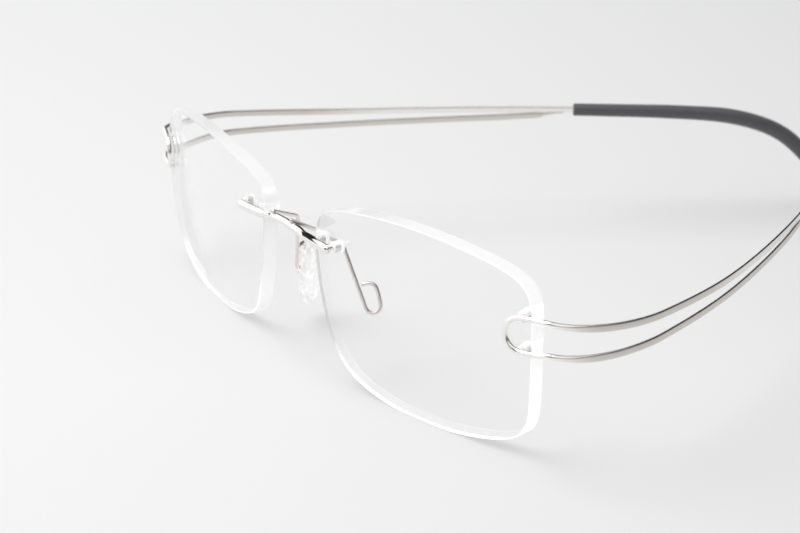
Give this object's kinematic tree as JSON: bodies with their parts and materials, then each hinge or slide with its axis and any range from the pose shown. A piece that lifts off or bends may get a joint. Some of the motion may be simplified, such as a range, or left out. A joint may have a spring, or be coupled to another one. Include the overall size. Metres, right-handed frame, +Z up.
{
  "type": "eyeglasses",
  "caption": "Rimless wire eyeglasses: two clear drilled lenses on an arched bridge, with hingeless hairpin wire temples, hooked pad arms, one soft nose pad and dark temple sleeves.",
  "frame": {"origin": "middle of the footprint on the table plane, with the glasses open and standing on their lens bottoms and temple tips", "axes": "+Z up, +Y from the lenses towards the temple tips, +X to the wearer's left"},
  "size_m": [0.141, 0.1499, 0.0352],
  "materials": {
    "lens": "clear polished resin with a ground edge",
    "polished_steel": "polished wire",
    "ribbon_steel": "satin faces with polished edges",
    "bushing": "clear moulded plastic",
    "silicone": "clear soft silicone",
    "sleeve": "matte slate grey"
  },
  "bodies": {
    "front": {"lens_left": "lens", "lens_right": "lens", "bridge": "polished_steel", "pad_arm_left": "polished_steel", "pad_arm_right": "polished_steel", "temple_loop_left": "polished_steel", "temple_loop_right": "polished_steel", "temple_bushing_upper_left": "bushing", "temple_bushing_upper_right": "bushing", "temple_bushing_lower_left": "bushing", "temple_bushing_lower_right": "bushing", "bridge_bushing_outer_left": "bushing", "bridge_bushing_outer_right": "bushing", "bridge_bushing_inner_left": "bushing", "bridge_bushing_inner_right": "bushing"},
    "temple_left": {"temple_wire_left": "ribbon_steel", "tip_sleeve_left": "sleeve"},
    "temple_right": {"temple_wire_right": "ribbon_steel", "tip_sleeve_right": "sleeve"},
    "pad_right": {"nose_pad_right": "silicone"}
  },
  "joints": [
    {"name": "temple_flex_left", "type": "hinge", "parent": "front", "child": "temple_left", "pos_m": [0.07001, -0.05049, 0.0229], "axis": [0, 0, -1], "range_deg": [-3, 30], "stiffness_Nm_per_rad": 0.1},
    {"name": "temple_flex_right", "type": "hinge", "parent": "front", "child": "temple_right", "pos_m": [-0.07001, -0.05049, 0.0229], "axis": [0, 0, 1], "range_deg": [-3, 30], "stiffness_Nm_per_rad": 0.1},
    {"name": "pad_rock_right", "type": "hinge", "parent": "front", "child": "pad_right", "pos_m": [-0.0135, -0.06243, 0.0128], "axis": [-0.3448, 0.1701, -0.9231], "range_deg": [-4, 4], "stiffness_Nm_per_rad": 0.01}
  ]
}
